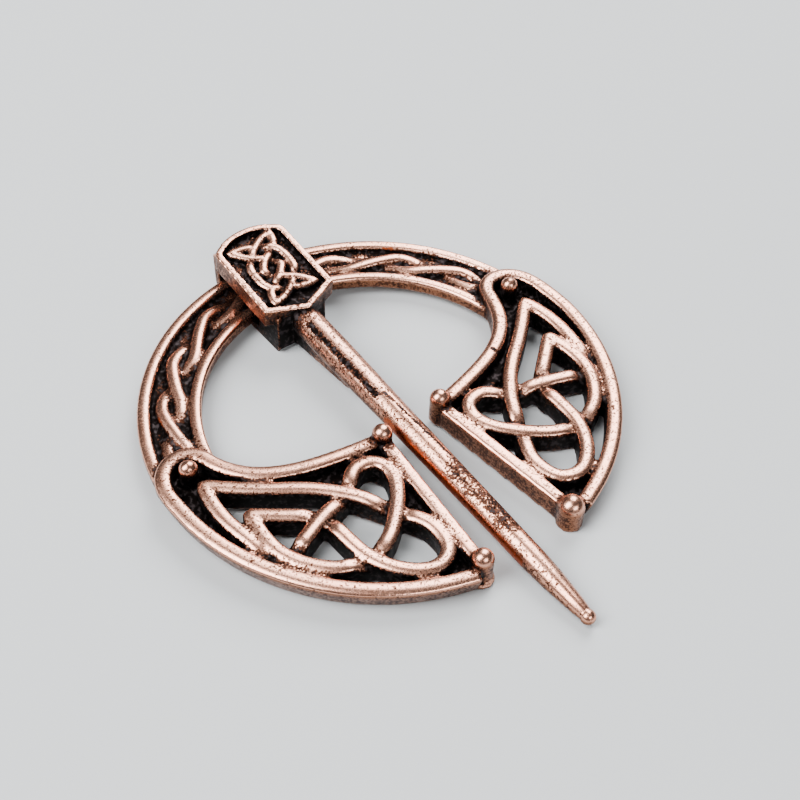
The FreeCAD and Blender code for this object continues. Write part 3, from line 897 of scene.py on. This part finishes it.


# Marks in the piece's own frame: copper rubbed down to a red tone, and blackening that stayed
# (black). On the pin, the red marks down the shaft's side are a painted reflection, and the wide
# black mark under the head is painted shade. Columns: both ends x, y, z of the mark in
# millimetres, radius, strength.
RING_BARE = [
    (16.1, 17.3, 1.3, 15.5, 17.8, 1.3, 0.45, 1.0),
    (-19.9, 11.2, 1.3, -20.3, 10.3, 1.3, 0.4, 0.8),
]
RING_BLACK = [
    (13.9, -3.1, 2.8, 14.3, -3.9, 2.6, 0.28, 0.8),
]
PIN_WEAR_AND_SHEEN = [
    # Painted reflection: the first two marks lay an orange band down the left side of the shaft; the
    # third is a real red stain on the plate's wall.
    (-1.45, -4.5, 3.0, -1.4, -14.0, 2.4, 0.8, 0.9),
    (-1.4, -14.0, 2.3, -1.25, -25.0, 1.5, 0.7, 1.0),
    (-4.4, 14.6, 4.4, -4.4, 19.5, 5.0, 0.9, 0.5),
]
PIN_BLACK_AND_SHADE = [
    (-0.85, 10.5, 5.4, -0.8, -1.5, 4.5, 0.33, 0.8),
    (0.0, -2.0, 4.7, 0.75, -12.0, 3.7, 0.16, 0.6),
    (0.2, -13.5, 3.8, 0.2, -22.0, 3.1, 1.0, 0.42),
    # Painted shade: this wide mark blackens the block and strap under the plate's front, which lie in
    # shadow.
    (0.0, 14.5, 1.8, 0.0, 15.5, 1.8, 3.6, 1.0),
]
finish_values(ring, RING_TO_ROW, RING_BARE, RING_BLACK)
finish_values(pin, PIN_TO_ROW, PIN_WEAR_AND_SHEEN, PIN_BLACK_AND_SHADE)


def linear(code):
    """sRGB hex colour as the renderer's linear values."""
    values = []
    for start in (1, 3, 5):
        part = int(code[start:start + 2], 16) / 255
        values.append(part / 12.92 if part <= 0.04045 else ((part + 0.055) / 1.055) ** 2.4)
    return (*values, 1.0)


# Sizes of the casting's grain in millimetres; the finest pits are drawn twice as coarse as the
# real ones so that they show.
PIT_SIZE = 0.22
SKIN_SIZE = 0.55
CLOUD_SIZE = 2.4


def grain(tree, place, size, detail):
    """Uneven pattern whose marks are this many millimetres wide."""
    return node(
        tree, "ShaderNodeTexNoise", [(place, 0)], in_2=1 / (size * MM), in_3=detail,
    ).outputs[0]


def ramp(tree, source, low, high):
    """Smooth step of a value between two limits."""
    step = node(tree, "ShaderNodeMapRange", [(source, 0)], in_1=low, in_2=high)
    step.interpolation_type = "SMOOTHSTEP"
    return step.outputs[0]


def weighed(tree, terms):
    """Sum of values, each times its weight."""
    total = None
    for source, weight in terms:
        links = [(source, 0)] if total is None else [(source, 0), (total, 2)]
        total = node(
            tree, "ShaderNodeMath", links, operation="MULTIPLY_ADD", in_1=weight, in_2=0.0,
        ).outputs[0]
    return total


def mixed(tree, share, near, far):
    """Colour between two others, which are values or sockets."""
    mix = node(tree, "ShaderNodeMix", [(share, 0)], data_type="RGBA")
    for number, side in ((6, near), (7, far)):
        if isinstance(side, tuple):
            mix.inputs[number].default_value = side
        else:
            tree.links.new(side, mix.inputs[number])
    return mix.outputs[2]


def antique_copper():
    """The finish: one metal, mixed by the values above and by three sizes of grain."""
    material = bpy.data.materials.new("antique_copper_plate")
    material.use_nodes = True
    tree = material.node_tree
    shader = tree.nodes["Principled BSDF"]
    place = node(tree, "ShaderNodeTexCoord").outputs["Object"]
    recess, relief, wall, wear_and_sheen, blackening_and_shade = [
        node(tree, "ShaderNodeAttribute", attribute_name=name).outputs["Fac"]
        for name in ("recess", "relief", "wall", "wear_and_sheen", "black")
    ]
    pits = grain(tree, place, PIT_SIZE, 2.0)
    skin = grain(tree, place, SKIN_SIZE, 3.0)
    cloud = grain(tree, place, CLOUD_SIZE, 3.0)

    # Depth of the place as the polishing felt it: walls near by and the place's own slope, less what
    # stands proud, with the unevenness of rubbing by hand. The black marks add to it too, among them
    # the painted shade under the pin's head.
    depth = weighed(tree, [
        (recess, 1.0), (wall, 0.08), (relief, -0.22), (blackening_and_shade, 0.5),
        (pits, 0.9), (skin, 0.5), (cloud, 0.3),
    ])
    brown = ramp(tree, depth, 0.83, 0.96)
    black = ramp(tree, depth, 1.04, 1.14)
    # The red tone also carries the painted orange reflection down the side of the pin's shaft.
    red = ramp(tree, weighed(tree, [(wear_and_sheen, 0.6), (skin, 0.5), (pits, 0.3)]), 0.62, 0.86)
    # Faces that turn sideways go brown, partly as less rubbed copper and partly as painted reflection of
    # dark surroundings.
    side = ramp(tree, wall, 0.45, 0.95)
    ashen = ramp(tree, skin, 0.50, 0.64)

    # Rubbed pink copper; brown slopes, partly painted reflection of dark surroundings; red wear,
    # with a painted orange reflection down the side of the pin's shaft; and a black that is greyish in
    # spots.
    colour = mixed(tree, cloud, linear("#DB967A"), linear("#ECB59C"))
    colour = mixed(tree, side, colour, linear("#8A5B43"))
    colour = mixed(tree, brown, colour, linear("#4A2C20"))
    colour = mixed(tree, red, colour, linear("#A2502F"))
    colour = mixed(tree, black, colour, mixed(tree, ashen, linear("#0F0B0A"), linear("#3B3435")))
    tree.links.new(colour, shader.inputs["Base Color"])

    shader.inputs["Metallic"].default_value = 1.0
    gloss = node(tree, "ShaderNodeMapRange", [(depth, 0)], in_1=0.75, in_2=1.15, in_3=0.25, in_4=0.6)
    tree.links.new(gloss.outputs[0], shader.inputs["Roughness"])

    uneven = weighed(tree, [(pits, 1.0), (skin, 1.6)])
    bump = node(tree, "ShaderNodeBump", [(uneven, 2)], in_0=0.6, in_1=0.06 * MM)
    tree.links.new(bump.outputs[0], shader.inputs["Normal"])
    return material


metal = antique_copper()
for piece in (ring, pin):
    piece.data.materials.clear()
    piece.data.materials.append(metal)

# Stage: a pale floor, soft light and the camera at the photograph's angle. None of it is part of
# the clasp. The floor lies a hair low, so that it isn't in one plane with the strap's underside.
FLOOR_HALF_SIDE = 1.5
FLOOR_DROP = 0.02 * MM
floor_bm = bmesh.new()
bmesh.ops.create_grid(floor_bm, x_segments=1, y_segments=1, size=FLOOR_HALF_SIDE)
floor_data = bpy.data.meshes.new("floor")
floor_bm.to_mesh(floor_data)
floor_bm.free()
floor = spawn(floor_data, "floor")
floor.location.z = -FLOOR_DROP
paper = bpy.data.materials.new("pale_paper")
paper.use_nodes = True
paper_shader = paper.node_tree.nodes["Principled BSDF"]
paper_shader.inputs["Base Color"].default_value = linear("#C0C3C5")
paper_shader.inputs["Roughness"].default_value = 0.9
floor.data.materials.append(paper)

# The camera stands 137 mm from the middle of the hoop at the height of its rim.
CAMERA_DISTANCE = 137.24
CAMERA_DOWN_RAD = 0.842323
CAMERA_ROLL_RAD = 0.0511
CAMERA_ROUND_RAD = 0.720909
CAMERA_FOCUS_PX = 1286.89
CAMERA_AIM_PX = (375.42, 396.10)
IMAGE_PX = 800
SENSOR_MM = 36.0


def camera_matrix():
    """Place of the camera in the ring's own frame, with its height taken from the rim."""
    ahead = Vector((0, math.cos(CAMERA_DOWN_RAD), -math.sin(CAMERA_DOWN_RAD)))
    right = Vector((1, 0, 0))
    up = right.cross(ahead)
    cos_roll = math.cos(CAMERA_ROLL_RAD)
    sin_roll = math.sin(CAMERA_ROLL_RAD)
    rolled_right = right * cos_roll + up * sin_roll
    rolled_up = up * cos_roll - right * sin_roll
    off_x = CAMERA_AIM_PX[0] - IMAGE_PX / 2
    off_y = CAMERA_AIM_PX[1] - IMAGE_PX / 2
    aim = (ahead * CAMERA_FOCUS_PX + rolled_right * off_x - rolled_up * off_y).normalized()
    turn = Matrix.Rotation(-CAMERA_ROUND_RAD, 4, "Z")
    axes = Matrix((rolled_right, rolled_up, -ahead)).transposed().to_4x4()
    back_off = Matrix.Translation(-CAMERA_DISTANCE * aim)
    return Matrix.Translation((0, 0, RIM_TOP)) @ turn @ back_off @ axes


camera_data = bpy.data.cameras.new("photo_camera")
camera_data.sensor_width = SENSOR_MM
camera_data.lens = SENSOR_MM * CAMERA_FOCUS_PX / IMAGE_PX
camera_data.clip_start = 0.005
camera_data.clip_end = 10
camera = spawn(camera_data, "photo_camera")
location, rotation, _ = (RING_TO_ROW @ camera_matrix()).decompose()
camera.location = location
camera.rotation_euler = rotation.to_euler()
bpy.context.scene.camera = camera


def softbox(name, place, size, power):
    """Soft light of this width and height, turned to the clasp."""
    light = bpy.data.lights.new(name, "AREA")
    light.shape = "RECTANGLE"
    light.size = size[0]
    light.size_y = size[1]
    light.energy = power
    obj = spawn(light, name)
    obj.location = place
    obj.rotation_euler = (-Vector(place)).to_track_quat("-Z", "Y").to_euler()


softbox("softbox_left", (-0.32, 0.10, 0.42), (0.30, 0.45), 6.5)
softbox("softbox_right", (0.34, 0.22, 0.40), (0.30, 0.45), 5.5)
softbox("softbox_front", (-0.05, -0.45, 0.35), (0.30, 0.2), 1.5)
world = bpy.data.worlds.new("studio")
world.use_nodes = True
world.node_tree.nodes["Background"].inputs["Color"].default_value = linear("#B9BCC0")
world.node_tree.nodes["Background"].inputs["Strength"].default_value = 0.16
bpy.context.scene.world = world
